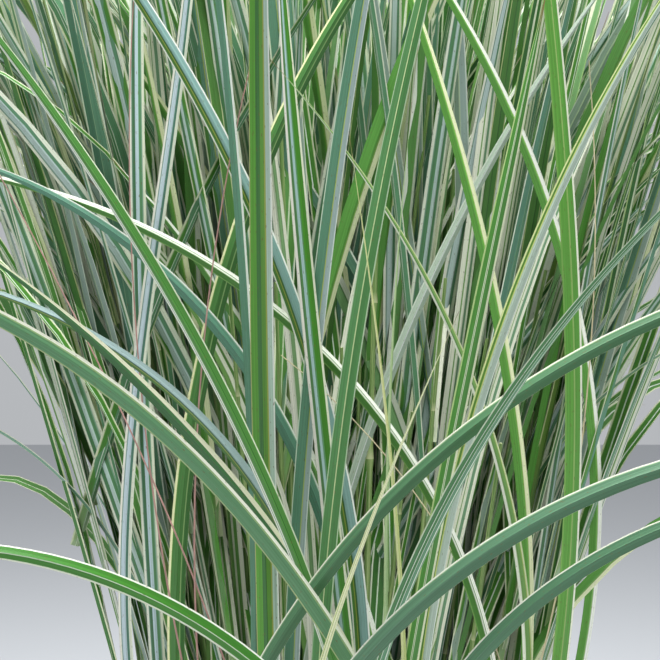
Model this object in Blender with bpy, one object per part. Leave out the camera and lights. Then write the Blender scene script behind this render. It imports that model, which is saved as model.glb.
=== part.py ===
# Potted clump of variegated miscanthus grass: a plain terracotta pot, potting soil, stems,
# single arching leaves, and closed solids for the dense tufts of leaves between them.
# Metres, +Z up. The origin is the middle of the pot's underside.

import math

import bmesh
import bpy
import numpy as np

# pot
POT_HEIGHT = 0.300
POT_BASE_RADIUS = 0.130
POT_MOUTH_RADIUS = 0.178
POT_WALL = 0.012
RIM_HEIGHT = 0.045
RIM_STEP = 0.010
POT_SIDES = 40
DRAIN_RADIUS = 0.009
DRAIN_CIRCLE = 0.070
DRAIN_COUNT = 3

# soil
GAP = 0.0003
SOIL_TOP = 0.262
SOIL_SIDES = 32

# stems and tufts stand in equal sectors round the crown; a stem has the lane between two tufts
SECTORS = 8
FIRST_TUFT_DEG = -90.0
STEM_START_R = 0.066
STEM_END_R = 0.098
STEM_RADIUS = 0.0032
STEM_TIP_RADIUS = 0.0016
STEM_TOPS = (0.86, 0.93, 0.98, 0.90, 1.00, 0.94, 0.97, 0.88)
TUFT_HALF_DEG = 15.5

# a leaf's section is a shallow V: two thin halves that meet at the keel
KEEL_THICK = 0.0011
LEAF_STEPS = 16
GROWTH_SUBSTEPS = 8
BASE_SHARE = 0.55

# a tuft's outline in its own upright plane: distance from the middle, height over the soil,
# and the share of its sector that it fills there. The front ones stay slim behind the single
# leaves; the others arch out to the leaf tips
SLIM_TUFT = ((0.022, 0.0, 1.0), (0.088, 0.0, 1.0), (0.094, 0.30, 1.0), (0.105, 0.60, 0.95),
             (0.140, 0.82, 0.60), (0.160, 0.93, 0.25), (0.110, 0.90, 0.50), (0.026, 0.82, 0.90))
ARCHED_TUFT = ((0.022, 0.0, 1.0), (0.092, 0.0, 1.0), (0.135, 0.30, 1.0), (0.205, 0.50, 0.80),
               (0.310, 0.62, 0.50), (0.425, 0.62, 0.12), (0.320, 0.75, 0.40), (0.205, 0.88, 0.50),
               (0.150, 0.95, 0.35), (0.090, 0.86, 0.70), (0.026, 0.80, 0.90))
TUFT_RISE = (1.00, 0.96, 1.02, 0.95, 1.04, 0.98, 0.93, 1.00)

# A leaf grows from its foot on the soil: foot is how far right of its lane's middle and how far out
# from the middle of the crown it stands; lean is its tilt to the right and forward its tilt outwards,
# in degrees from upright at the foot, halfway and at the tip; fold is the V's depth as a share of
# the width, taper how late it narrows, and roll its twist in degrees at the foot and at the tip
FRONT_TURN = -90.0
FRONT_LEAVES = {
    "upright_keeled_leaf": dict(
        foot=(-0.038, 0.125), lean=(-2, 0, 2), forward=(4, 17, 30), length=0.87,
        width=0.0165, fold=0.22, taper=5, roll=(8, 8)),
    "upper_left_diagonal_leaf": dict(
        foot=(0.006, 0.104), lean=(12, -18, -46), forward=(6, 9, 16), length=0.93,
        width=0.012, fold=0.10, taper=5, roll=(0, -12)),
    "narrow_teal_leaf": dict(
        foot=(-0.060, 0.118), lean=(3, -2, -8), forward=(5, 9, 12), length=0.84,
        width=0.007, fold=0.10, taper=6, roll=(0, 0)),
    "dark_folded_leaf": dict(
        foot=(-0.095, 0.100), lean=(-9, 13, 50), forward=(4, 5, 8), length=0.90,
        width=0.013, fold=0.25, taper=5, roll=(-10, 10)),
    "long_crossing_leaf": dict(
        foot=(0.112, 0.096), lean=(19, -14, -44), forward=(9, 10, 11), length=0.70,
        width=0.008, fold=0.12, taper=2.2, roll=(0, 0)),
    "wide_teal_leaf": dict(
        foot=(-0.030, 0.106), lean=(-1, 6, 14), forward=(7, 11, 11), length=0.90,
        width=0.0115, fold=0.12, taper=6, roll=(-6, 4)),
    "green_midrib_leaf": dict(
        foot=(-0.008, 0.130), lean=(-3, 8, 17), forward=(16, 9, 5), length=0.87,
        width=0.0115, fold=0.14, taper=5, roll=(0, 0)),
    "bright_cream_edged_leaf": dict(
        foot=(0.120, 0.060), lean=(14, -9, -22), forward=(14, 9, 2), length=0.82,
        width=0.009, fold=0.15, taper=6, roll=(5, 5)),
    "white_banded_leaf": dict(
        foot=(0.130, 0.040), lean=(26, -10, -46), forward=(9, 11, 13), length=0.88,
        width=0.009, fold=0.12, taper=6, roll=(0, 0)),
    "right_upright_leaf": dict(
        foot=(0.133, 0.062), lean=(13, -3, -8), forward=(26, 11, 4), length=0.92,
        width=0.012, fold=0.15, taper=6, roll=(-5, -5)),
    "dark_midrib_leaf": dict(
        foot=(0.030, 0.118), lean=(4, 9, 11), forward=(18, 16, 8), length=0.69,
        width=0.0098, fold=0.18, taper=9, roll=(0, 0)),
    "teal_edged_leaf": dict(
        foot=(0.062, 0.112), lean=(-4, 13, 36), forward=(17, 12, 7), length=0.77,
        width=0.0088, fold=0.18, taper=6, roll=(-8, -8)),
    "twisted_striped_leaf": dict(
        foot=(0.015, 0.135), lean=(-8, 24, 60), forward=(32, 18, 2), length=0.78,
        width=0.0115, fold=0.10, taper=3, roll=(0, -60)),
    "long_arching_leaf": dict(
        foot=(-0.115, 0.085), lean=(7, 42, 101), forward=(36, 18, 6), length=0.87,
        width=0.0102, fold=0.12, taper=6, roll=(15, 15)),
    "low_arching_leaf": dict(
        foot=(-0.060, 0.130), lean=(5, 38, 110), forward=(26, 30, -20), length=0.72,
        width=0.0110, fold=0.12, taper=6, roll=(15, 15)),
    "lowest_arching_leaf": dict(
        foot=(0.062, 0.131), lean=(-16, 31, 110), forward=(26, 30, -15), length=0.63,
        width=0.0100, fold=0.12, taper=6, roll=(15, 15)),
    "thin_yellow_leaf": dict(
        foot=(-0.045, 0.132), lean=(3, 14, 23), forward=(22, 30, 14), length=0.54,
        width=0.0068, fold=0.20, taper=1.3, roll=(0, 0)),
    "yellow_needle_leaf": dict(
        foot=(0.044, 0.128), lean=(6, -4, -9), forward=(17, 14, 10), length=0.60,
        width=0.0045, fold=0.20, taper=1.6, roll=(0, 0)),
    "pale_needle_leaf": dict(
        foot=(0.045, 0.105), lean=(-2, 0, 6), forward=(20, 12, 9), length=0.62,
        width=0.0042, fold=0.20, taper=1.6, roll=(0, 0)),
    "folded_striped_leaf": dict(
        foot=(0.042, 0.139), lean=(-3, -23, -40), forward=(17, 12, 6), length=0.78,
        width=0.0095, fold=0.22, taper=6, roll=(10, 10)),
    "white_topped_leaf": dict(
        foot=(0.110, 0.085), lean=(16, -36, -88), forward=(8, 8, 8), length=0.82,
        width=0.0085, fold=0.18, taper=6, roll=(0, 0)),
    "dark_teal_leaf": dict(
        foot=(0.012, 0.096), lean=(9, -23, -80), forward=(3, 9, 14), length=0.73,
        width=0.0100, fold=0.12, taper=6, roll=(0, 0)),
    "broad_left_leaf": dict(
        foot=(0.125, 0.075), lean=(-26, -35, -98), forward=(44, 18, 6), length=0.83,
        width=0.0118, fold=0.10, taper=6, roll=(12, 12)),
    "cream_edged_companion_leaf": dict(
        foot=(0.085, 0.110), lean=(-9, -31, -54), forward=(9, 19, 16), length=0.65,
        width=0.0100, fold=0.15, taper=5, roll=(0, 0)),
    "lilac_grey_leaf": dict(
        foot=(-0.010, 0.122), lean=(16, -27, -86), forward=(6, 14, 22), length=0.67,
        width=0.0085, fold=0.18, taper=5, roll=(0, 0)),
    "vivid_midrib_leaf": dict(
        foot=(0.100, 0.100), lean=(-26, -42, -118), forward=(34, 27, 8), length=0.66,
        width=0.0105, fold=0.15, taper=6, roll=(-10, -10)),
    "left_white_ribbed_leaf": dict(
        foot=(-0.122, 0.040), lean=(-2, -1, 2), forward=(20, 6, -4), length=0.93,
        width=0.0120, fold=0.15, taper=6, roll=(0, 0)),
    "left_blue_ribbed_leaf": dict(
        foot=(-0.108, 0.060), lean=(-22, 8, -4), forward=(16, 7, 4), length=0.92,
        width=0.0095, fold=0.15, taper=6, roll=(0, 0)),
    "centre_striped_leaf": dict(
        foot=(0.034, 0.108), lean=(-5, -6, -3), forward=(11, 9, 3), length=0.75,
        width=0.0125, fold=0.15, taper=7, roll=(0, 0)),
    "pale_back_leaf": dict(
        foot=(-0.010, 0.090), lean=(2, -5, -7), forward=(6, 3, 3), length=0.80,
        width=0.0100, fold=0.15, taper=6, roll=(0, 0)),
    "grey_leaning_leaf": dict(
        foot=(-0.035, 0.090), lean=(0, 19, 38), forward=(3, 5, 2), length=0.79,
        width=0.0080, fold=0.15, taper=6, roll=(0, 0)),
}

# single leaves round the sides and the back, each in the upright plane of its lane: the lane's
# direction in degrees, how far out the foot is, and the same tilt outwards
SIDE_FOLD = 0.15
SIDE_TAPER = 6
SIDE_LEAVES = {
    "right_arching_leaf": dict(turn=-22.5, out=0.105, forward=(4, 30, 125), length=0.70, width=0.0125),
    "right_rear_leaf": dict(turn=22.5, out=0.105, forward=(3, 20, 115), length=0.82, width=0.0115),
    "right_drooping_leaf": dict(turn=22.5, out=0.128, forward=(15, 50, 165), length=0.52, width=0.0110),
    "back_right_leaf": dict(turn=67.5, out=0.105, forward=(4, 28, 122), length=0.72, width=0.0125),
    "back_left_leaf": dict(turn=112.5, out=0.105, forward=(3, 20, 115), length=0.80, width=0.0120),
    "back_drooping_leaf": dict(turn=112.5, out=0.128, forward=(16, 52, 165), length=0.50, width=0.0110),
    "left_rear_leaf": dict(turn=157.5, out=0.105, forward=(4, 28, 120), length=0.73, width=0.0125),
    "left_arching_leaf": dict(turn=202.5, out=0.112, forward=(6, 33, 125), length=0.63, width=0.0115),
    "tallest_back_leaf": dict(turn=67.5, out=0.082, forward=(2, 7, 20), length=1.01, width=0.0115),
}

MATERIALS = {
    "terracotta": dict(color=(0.55, 0.24, 0.13), roughness=0.85),
    "soil": dict(color=(0.045, 0.028, 0.018), roughness=1.0),
    "stem": dict(color=(0.36, 0.46, 0.20), roughness=0.55),
    "leaf": dict(color=(0.20, 0.36, 0.16), roughness=0.45),
    "tuft": dict(color=(0.32, 0.45, 0.28), roughness=0.60),
}


def clear_scene():
    for old in list(bpy.data.objects):
        bpy.data.objects.remove(old)


def material(name, kind):
    made = bpy.data.materials.new(name)
    made.use_nodes = True
    shader = made.node_tree.nodes["Principled BSDF"]
    shader.inputs["Base Color"].default_value = (*MATERIALS[kind]["color"], 1.0)
    shader.inputs["Roughness"].default_value = MATERIALS[kind]["roughness"]
    shader.inputs["Metallic"].default_value = 0.0
    return made


def place(name, bm, kind, sharp_deg=40):
    bmesh.ops.recalc_face_normals(bm, faces=bm.faces)
    mesh = bpy.data.meshes.new(name)
    bm.to_mesh(mesh)
    bm.free()
    mesh.shade_smooth()
    mesh.set_sharp_from_angle(angle=math.radians(sharp_deg))
    mesh.materials.append(material(name, kind))
    thing = bpy.data.objects.new(name, mesh)
    bpy.context.scene.collection.objects.link(thing)
    return thing


def turned(profile, sides):
    """A closed body turned round Z from (radius, height) pairs that start and end on the axis."""
    bm = bmesh.new()
    rings = []
    for radius, height in profile:
        if radius == 0:
            rings.append([bm.verts.new((0, 0, height))])
            continue
        angles = [2 * math.pi * step / sides for step in range(sides)]
        rings.append([bm.verts.new((radius * math.cos(a), radius * math.sin(a), height)) for a in angles])
    for low, high in zip(rings, rings[1:]):
        for step in range(sides):
            follow = (step + 1) % sides
            corners = {low[step % len(low)]: None, low[follow % len(low)]: None,
                       high[follow % len(high)]: None, high[step % len(high)]: None}
            bm.faces.new(list(corners))
    return bm


def pot_radius(height):
    """The tapered outer wall's radius at a height, below the rim."""
    lower_top = POT_MOUTH_RADIUS - RIM_STEP
    return POT_BASE_RADIUS + (lower_top - POT_BASE_RADIUS) * height / (POT_HEIGHT - RIM_HEIGHT)


def build_pot():
    rim_base = POT_HEIGHT - RIM_HEIGHT
    edge = 0.004
    inner_top = POT_MOUTH_RADIUS - POT_WALL
    inner_rim_base = pot_radius(rim_base) - POT_WALL
    profile = [
        (0, 0), (POT_BASE_RADIUS - edge, 0), (POT_BASE_RADIUS, edge),
        (pot_radius(rim_base), rim_base), (POT_MOUTH_RADIUS - 0.003, rim_base + 0.002),
        (POT_MOUTH_RADIUS, rim_base + 0.007), (POT_MOUTH_RADIUS, POT_HEIGHT - edge),
        (POT_MOUTH_RADIUS - edge, POT_HEIGHT), (inner_top + edge, POT_HEIGHT),
        (inner_top, POT_HEIGHT - edge), (inner_rim_base, rim_base - 0.012),
        (pot_radius(POT_WALL) - POT_WALL, POT_WALL), (0, POT_WALL),
    ]
    pot = place("pot", turned(profile, POT_SIDES), "terracotta")
    for number in range(DRAIN_COUNT):
        angle = 2 * math.pi * (number + 0.25) / DRAIN_COUNT
        bpy.ops.mesh.primitive_cylinder_add(
            vertices=16, radius=DRAIN_RADIUS, depth=POT_WALL * 3,
            location=(DRAIN_CIRCLE * math.cos(angle), DRAIN_CIRCLE * math.sin(angle), POT_WALL / 2))
        cutter = bpy.context.object
        cutter.name = f"drain_cutter_{number + 1}"
        cutter.hide_render = True
        cutter.display_type = "WIRE"
        hole = pot.modifiers.new(f"drain_hole_{number + 1}", "BOOLEAN")
        hole.object = cutter
        hole.operation = "DIFFERENCE"


def build_soil():
    rim_base = POT_HEIGHT - RIM_HEIGHT
    floor = POT_WALL + GAP
    bend = rim_base - 0.012
    mouth_slope = (POT_MOUTH_RADIUS - pot_radius(rim_base)) / (RIM_HEIGHT - 0.004 + 0.012)
    clear = GAP + 0.0012
    top_radius = pot_radius(rim_base) - POT_WALL + mouth_slope * (SOIL_TOP - bend) - clear
    profile = [
        (0, floor), (pot_radius(POT_WALL) - POT_WALL - clear, floor),
        (pot_radius(rim_base) - POT_WALL - clear, bend), (top_radius, SOIL_TOP), (0, SOIL_TOP),
    ]
    place("soil", turned(profile, SOIL_SIDES), "soil")


def along_leaf(share, values):
    """The quadratic curve through a value at the foot, halfway and at the tip."""
    foot, middle, tip = values
    bow = 4 * middle * share * (1 - share)
    return foot * (1 - share) * (1 - 2 * share) + bow + tip * share * (2 * share - 1)


def grow(turn_deg, foot, lean, forward, length):
    """Places, directions and outer-face directions at equal steps along a leaf that grows from its foot."""
    turn = math.radians(turn_deg)
    out = np.array((math.cos(turn), math.sin(turn), 0.0))
    right = np.array((-math.sin(turn), math.cos(turn), 0.0))
    up = np.array((0.0, 0.0, 1.0))
    share = np.linspace(0, 1, LEAF_STEPS * GROWTH_SUBSTEPS + 1)
    lean_at = np.radians(along_leaf(share, lean))[:, None]
    forward_at = np.radians(along_leaf(share, forward))[:, None]
    upwards = right * np.sin(lean_at) + up * np.cos(lean_at)
    heading = upwards * np.cos(forward_at) + out * np.sin(forward_at)
    face = out * np.cos(forward_at) - upwards * np.sin(forward_at)
    travel = np.cumsum((heading[1:] + heading[:-1]) / 2, axis=0) * length / (len(share) - 1)
    start = right * foot[0] + out * foot[1] + up * (SOIL_TOP + GAP)
    centre = start + np.concatenate([np.zeros((1, 3)), travel])
    return centre[::GROWTH_SUBSTEPS], heading[::GROWTH_SUBSTEPS], face[::GROWTH_SUBSTEPS]


def build_leaf(name, turn, foot, lean, forward, length, width, fold, taper, roll):
    """A long thin V that grows from a flat foot just over the soil to a pointed tip."""
    centre, heading, face = grow(turn, foot, lean, forward, length)
    share = np.linspace(0, 1, LEAF_STEPS + 1)
    spread = BASE_SHARE + (1 - BASE_SHARE) * np.clip(share / 0.25, 0, 1)
    half = width / 2 * spread * (1 - share ** taper)
    side = np.cross(heading, face)
    twist = np.radians(np.interp(share, (0, 1), roll))[:, None]
    across = side * np.cos(twist) + face * np.sin(twist)
    out = face * np.cos(twist) - side * np.sin(twist)
    keel = KEEL_THICK / 2 * np.clip(half / (width / 2), 0.25, 1)[:, None]
    drop = (2 * half * fold)[:, None]
    half = half[:, None]
    sections = np.stack([centre - across * half - out * drop, centre + out * keel,
                         centre + across * half - out * drop, centre - out * keel], axis=1)
    foot_rise = (sections[0, :, 2] - (SOIL_TOP + GAP)) / heading[0, 2]
    sections[0] -= heading[0] * foot_rise[:, None]
    bm = bmesh.new()
    rings = [[bm.verts.new(corner) for corner in ring] for ring in sections[:-1]]
    tip = bm.verts.new(centre[-1])
    for low, high in zip(rings, rings[1:]):
        for i in range(4):
            bm.faces.new((low[i], low[(i + 1) % 4], high[(i + 1) % 4], high[i]))
    for i in range(4):
        bm.faces.new((rings[-1][i], rings[-1][(i + 1) % 4], tip))
    bm.faces.new(list(reversed(rings[0])))
    bmesh.ops.triangulate(bm, faces=bm.faces)
    place(name, bm, "leaf", sharp_deg=25)


def lane_point(turn_deg, radius, height):
    turn = math.radians(turn_deg)
    return (radius * math.cos(turn), radius * math.sin(turn), height)


def build_leaves():
    for name, leaf in FRONT_LEAVES.items():
        build_leaf(name, FRONT_TURN, **leaf)
    for name, leaf in SIDE_LEAVES.items():
        build_leaf(name, leaf["turn"], (0.0, leaf["out"]), (0, 0, 0), leaf["forward"], leaf["length"],
                   leaf["width"], SIDE_FOLD, SIDE_TAPER, (0, 0))


def build_stems():
    """Round tapered stems, each leaning outwards in the lane between two tufts."""
    sides = 6
    steps = 8
    for number, top in enumerate(STEM_TOPS):
        turn = FIRST_TUFT_DEG + 360 / SECTORS * (number + 0.5)
        bm = bmesh.new()
        rings = []
        for step in range(steps + 1):
            share = step / steps
            height = SOIL_TOP + GAP + (top - SOIL_TOP) * share
            middle = lane_point(turn, STEM_START_R + (STEM_END_R - STEM_START_R) * share ** 1.6, height)
            radius = STEM_RADIUS + (STEM_TIP_RADIUS - STEM_RADIUS) * share
            rings.append([bm.verts.new((middle[0] + radius * math.cos(math.tau * k / sides),
                                        middle[1] + radius * math.sin(math.tau * k / sides), height))
                          for k in range(sides)])
        for low, high in zip(rings, rings[1:]):
            for k in range(sides):
                bm.faces.new((low[k], low[(k + 1) % sides], high[(k + 1) % sides], high[k]))
        bm.faces.new(list(reversed(rings[0])))
        bm.faces.new(rings[-1])
        place(f"stem_{number + 1}", bm, "stem")


def build_tufts():
    """Arching wedges round the crown, each a tuft's outline carried through its sector."""
    columns = 4
    front_ones = (0, 1, SECTORS - 1)
    for number in range(SECTORS):
        outline = SLIM_TUFT if number in front_ones else ARCHED_TUFT
        middle = FIRST_TUFT_DEG + 360 / SECTORS * number
        bm = bmesh.new()
        slices = []
        for column in range(columns + 1):
            off_middle = TUFT_HALF_DEG * (2 * column / columns - 1)
            slices.append([bm.verts.new(lane_point(middle + off_middle * fill, radius,
                                                   SOIL_TOP + GAP + rise * TUFT_RISE[number]))
                           for radius, rise, fill in outline])
        for near, far in zip(slices, slices[1:]):
            for k in range(len(outline)):
                after = (k + 1) % len(outline)
                bm.faces.new((near[k], near[after], far[after], far[k]))
        bm.faces.new(list(reversed(slices[0])))
        bm.faces.new(slices[-1])
        place(f"leaf_tuft_{number + 1}", bm, "tuft")


def main():
    clear_scene()
    build_pot()
    build_soil()
    build_stems()
    build_tufts()
    build_leaves()


main()
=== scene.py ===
import math

import bpy
import numpy as np
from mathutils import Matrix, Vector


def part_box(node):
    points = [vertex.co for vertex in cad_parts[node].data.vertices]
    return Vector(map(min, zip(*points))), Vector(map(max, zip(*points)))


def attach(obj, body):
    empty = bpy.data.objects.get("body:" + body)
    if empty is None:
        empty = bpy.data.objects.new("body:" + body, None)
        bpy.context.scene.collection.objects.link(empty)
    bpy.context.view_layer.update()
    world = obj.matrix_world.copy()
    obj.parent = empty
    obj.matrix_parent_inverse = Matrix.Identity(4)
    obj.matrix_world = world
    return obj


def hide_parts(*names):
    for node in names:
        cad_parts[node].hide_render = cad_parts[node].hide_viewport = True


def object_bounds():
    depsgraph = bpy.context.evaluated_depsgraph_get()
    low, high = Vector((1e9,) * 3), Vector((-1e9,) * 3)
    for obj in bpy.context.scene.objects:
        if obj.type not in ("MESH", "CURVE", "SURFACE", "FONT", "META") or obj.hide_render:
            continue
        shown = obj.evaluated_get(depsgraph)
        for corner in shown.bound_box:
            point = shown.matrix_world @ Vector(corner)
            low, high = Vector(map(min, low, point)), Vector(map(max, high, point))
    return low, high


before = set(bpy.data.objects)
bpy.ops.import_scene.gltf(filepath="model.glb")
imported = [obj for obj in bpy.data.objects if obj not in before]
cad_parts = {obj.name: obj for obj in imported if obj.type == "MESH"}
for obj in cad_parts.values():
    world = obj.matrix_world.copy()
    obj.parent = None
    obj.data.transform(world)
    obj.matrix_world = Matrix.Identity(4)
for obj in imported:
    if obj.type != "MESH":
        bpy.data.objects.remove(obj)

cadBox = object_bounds()
random = np.random.default_rng(41)
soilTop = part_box("soil")[1][2]
soilGap = 0.0003
frontTurn = -90.0
print("frame loaded, box", cadBox)


def linear(hexText):
    # sRGB hex to linear colour
    values = [int(hexText[i:i + 2], 16) / 255 for i in (1, 3, 5)]
    return tuple(v / 12.92 if v <= 0.04045 else ((v + 0.055) / 1.055) ** 2.4 for v in values) + (1.0,)


def addNode(tree, kind, settings=None, **inputs):
    # one node: settings are its own values, inputs are numbers, colours or other nodes' outputs;
    # an input is named by its label with spaces left out, or in0, in1 for its place
    node = tree.nodes.new(kind)
    for key, value in (settings or {}).items():
        setattr(node, key, value)
    for key, value in inputs.items():
        if key[:2] == "in" and key[2:].isdigit():
            socket = node.inputs[int(key[2:])]
        else:
            socket = next(s for s in node.inputs if s.name.replace(" ", "") == key and s.enabled)
        if isinstance(value, bpy.types.NodeSocket):
            tree.links.new(value, socket)
        else:
            socket.default_value = value
    return node


def times(tree, value, factor):
    return addNode(tree, "ShaderNodeMath", dict(operation="MULTIPLY"), in0=value, in1=factor).outputs[0]


def mixColors(tree, factor, first, second):
    # first where the factor is 0, second where it is 1; second is a hex colour or a node's output
    mix = addNode(tree, "ShaderNodeMix", dict(data_type="RGBA"))
    tree.links.new(factor, mix.inputs[0])
    tree.links.new(first, mix.inputs[6])
    if isinstance(second, str):
        mix.inputs[7].default_value = linear(second)
    else:
        tree.links.new(second, mix.inputs[7])
    return mix.outputs[2]


def stretchedNoise(tree, place, across, along, **inputs):
    # flat noise over a strip's own map, with its two directions scaled apart
    spot = addNode(tree, "ShaderNodeCombineXYZ", X=times(tree, place.outputs[0], across),
                   Y=times(tree, place.outputs[1], along))
    return addNode(tree, "ShaderNodeTexNoise", dict(noise_dimensions="2D"), Vector=spot.outputs[0],
                   Scale=1.0, **inputs).outputs[0]


def objectNoise(tree, scale, detail, roughness=0.5):
    spot = addNode(tree, "ShaderNodeTexCoord").outputs["Object"]
    return addNode(tree, "ShaderNodeTexNoise", Vector=spot, Scale=scale, Detail=detail,
                   Roughness=roughness).outputs[0]


def finishShader(tree, shader, color, roughness, ior=1.5, height=None, strength=0.0, depth=0.0):
    tree.links.new(color, shader.inputs["Base Color"])
    shader.inputs["Roughness"].default_value = roughness
    shader.inputs["IOR"].default_value = ior
    if height is not None:
        bump = addNode(tree, "ShaderNodeBump", Height=height, Strength=strength, Distance=depth)
        tree.links.new(bump.outputs[0], shader.inputs["Normal"])


def newMaterial(name):
    material = bpy.data.materials.new(name)
    material.use_nodes = True
    tree = material.node_tree
    return material, tree, tree.nodes["Principled BSDF"]


def setRamp(node, stops):
    ramp = node.color_ramp
    while len(ramp.elements) > 1:
        ramp.elements.remove(ramp.elements[-1])
    ramp.elements[0].position, ramp.elements[0].color = stops[0]
    for position, color in stops[1:]:
        ramp.elements.new(position).color = color


# living grass leaf: a waxy cuticle over long cells, grown as a flat blade.
# Green and cream tissue lie in bands along it, the under face has a blue-grey bloom
leafFinish = dict(roughness=0.43, ior=1.42, veinsAcross=52.0, veinsAlong=5.0, veinBump=0.6,
                  veinDepth=0.00012, blend=0.008, streak=0.16, specksAcross=28.0, specksAlong=190.0,
                  speckFrom=0.745, speckFull=0.79, speckCover=0.7, sheathCover=0.55, sheathEnd=0.07,
                  dryFrom=0.965, dryFull=0.99, dryCover=0.9, dryTip="#8a6a42", speck="#6d5a34",
                  sheath="#b9c79a")


def bandStops(outer, inner):
    # bands as (share, hex) run across the outer face over 0 to 0.5 and the inner over 0.5 to 1
    stops = []
    for start, bands in ((0.0, outer), (0.5, inner)):
        total = sum(share for share, color in bands)
        at = start
        for number, (share, color) in enumerate(bands):
            end = at + 0.5 * share / total
            blend = min(leafFinish["blend"], (end - at) / 3)
            low = at + (blend / 2 if number else 0)
            high = end - (blend / 2 if number < len(bands) - 1 else 0.0005)
            stops += [(low, linear(color)), (high, linear(color))]
            at = end
    return stops


def leafMaterial(name, outer, inner, column=0, columns=1):
    # leaves that share one map have a column of it for each kind; local runs 0 to 1 over the column
    finish = leafFinish
    material, tree, shader = newMaterial(name)
    uv = addNode(tree, "ShaderNodeUVMap", dict(uv_map="OFBake"))
    place = addNode(tree, "ShaderNodeSeparateXYZ", Vector=uv.outputs[0])
    local = addNode(tree, "ShaderNodeMath", dict(operation="MULTIPLY_ADD"),
                    in0=place.outputs[0], in1=float(columns), in2=-float(column))
    bands = addNode(tree, "ShaderNodeValToRGB", Fac=local.outputs[0])
    setRamp(bands, bandStops(outer, inner))
    # veins run the whole length, about 0.5 mm apart on a 13 mm leaf
    veins = stretchedNoise(tree, place, finish["veinsAcross"] * columns, finish["veinsAlong"], Detail=2.0,
                           Roughness=0.6)
    shade = addNode(tree, "ShaderNodeMapRange", Value=veins, FromMin=0.3, FromMax=0.7,
                    ToMin=1 - finish["streak"], ToMax=1 + finish["streak"])
    shaded = addNode(tree, "ShaderNodeVectorMath", dict(operation="SCALE"),
                     in0=bands.outputs[0], Scale=shade.outputs[0])
    # brown specks where the leaf was rubbed or bitten
    specks = stretchedNoise(tree, place, finish["specksAcross"] * columns, finish["specksAlong"], Detail=1.0)
    speckMask = addNode(tree, "ShaderNodeMapRange", Value=specks, FromMin=finish["speckFrom"],
                        FromMax=finish["speckFull"], ToMin=0.0, ToMax=finish["speckCover"])
    spotted = mixColors(tree, speckMask.outputs[0], shaded.outputs[0], finish["speck"])
    # pale sheath at the foot, dry brown tip
    ends = addNode(tree, "ShaderNodeValToRGB", Fac=place.outputs[1])
    covers = [(0.0, finish["sheathCover"]), (finish["sheathEnd"], 0), (finish["dryFrom"], 0),
              (finish["dryFull"], finish["dryCover"])]
    setRamp(ends, [(at, (cover, cover, cover, 1)) for at, cover in covers])
    endColor = addNode(tree, "ShaderNodeValToRGB", Fac=place.outputs[1])
    setRamp(endColor, [(0.45, linear(finish["sheath"])), (0.55, linear(finish["dryTip"]))])
    color = mixColors(tree, ends.outputs[0], spotted, endColor.outputs[0])
    finishShader(tree, shader, color, finish["roughness"], finish["ior"], veins, finish["veinBump"],
                 finish["veinDepth"])
    return material


def meshFromRings(name, rings, uAround, vAlong, slots, materials, sharpDegrees, column=None, columns=1):
    # rings is blades x steps x points round x 3; neighbours along and round make the quads, and the
    # first and last ring of each blade is closed by one flat face. uAround is (start, end) of every
    # face round the section, vAlong the place along the blade
    count, steps, around, _ = rings.shape
    index = np.arange(count * steps * around).reshape(count, steps, around)
    after = np.roll(index, -1, axis=2)
    quads = np.stack([index[:, :-1], after[:, :-1], after[:, 1:], index[:, 1:]], axis=-1)
    first = index[:, 0, ::-1]
    last = index[:, -1, :]
    uStart, uEnd = uAround
    column = np.zeros(count) if column is None else column
    shape = (count, steps - 1, around)
    offset = column[:, None, None]
    lowU, highU = (np.broadcast_to((u[None, None, :] + offset) / columns, shape) for u in (uStart, uEnd))
    lowV = np.broadcast_to(vAlong[None, :-1, None], shape)
    highV = np.broadcast_to(vAlong[None, 1:, None], shape)
    quadU = np.stack([lowU, highU, highU, lowU], -1)
    quadUv = np.stack([quadU, np.stack([lowV, lowV, highV, highV], -1)], -1)
    capU = (uStart[None, :] + column[:, None]) / columns
    firstUv = np.stack([capU[:, ::-1], np.full_like(capU, vAlong[0])], -1)
    lastUv = np.stack([capU, np.full_like(capU, vAlong[-1])], -1)
    loops = np.concatenate([quads.reshape(-1), first.reshape(-1), last.reshape(-1)])
    uvs = np.concatenate([quadUv.reshape(-1, 2), firstUv.reshape(-1, 2), lastUv.reshape(-1, 2)])
    quadCount = quads.size // 4
    sizes = np.concatenate([np.full(quadCount, 4), np.full(2 * count, around)])
    faceSlots = np.concatenate([np.repeat(slots, (steps - 1) * around), slots, slots])
    points = rings.reshape(-1, 3)
    # the signed volume says which way the faces look; outwards is positive
    a, b, c = (points[quads.reshape(-1, 4)[:, k]] for k in (0, 1, 2))
    if np.sum(a * np.cross(b, c)) < 0:
        ends = np.cumsum(sizes)
        starts = ends - sizes
        within = np.arange(len(loops)) - np.repeat(starts, sizes)
        turned = np.repeat(ends, sizes) - 1 - within
        loops, uvs = loops[turned], uvs[turned]
    mesh = bpy.data.meshes.new(name)
    mesh.vertices.add(len(points))
    mesh.vertices.foreach_set("co", points.astype(np.float32).reshape(-1))
    mesh.loops.add(len(loops))
    mesh.loops.foreach_set("vertex_index", loops.astype(np.int32))
    mesh.polygons.add(len(sizes))
    mesh.polygons.foreach_set("loop_start", (np.cumsum(sizes) - sizes).astype(np.int32))
    for material in materials:
        mesh.materials.append(material)
    mesh.polygons.foreach_set("material_index", faceSlots.astype(np.int32))
    mesh.polygons.foreach_set("use_smooth", np.ones(len(sizes), bool))
    mesh.update(calc_edges=True)
    layer = mesh.uv_layers.new(name="OFBake")
    layer.uv.foreach_set("vector", uvs.astype(np.float32).reshape(-1))
    mesh.validate()
    mesh.set_sharp_from_angle(angle=math.radians(sharpDegrees))
    thing = bpy.data.objects.new(name, mesh)
    bpy.context.scene.collection.objects.link(thing)
    return thing


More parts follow.
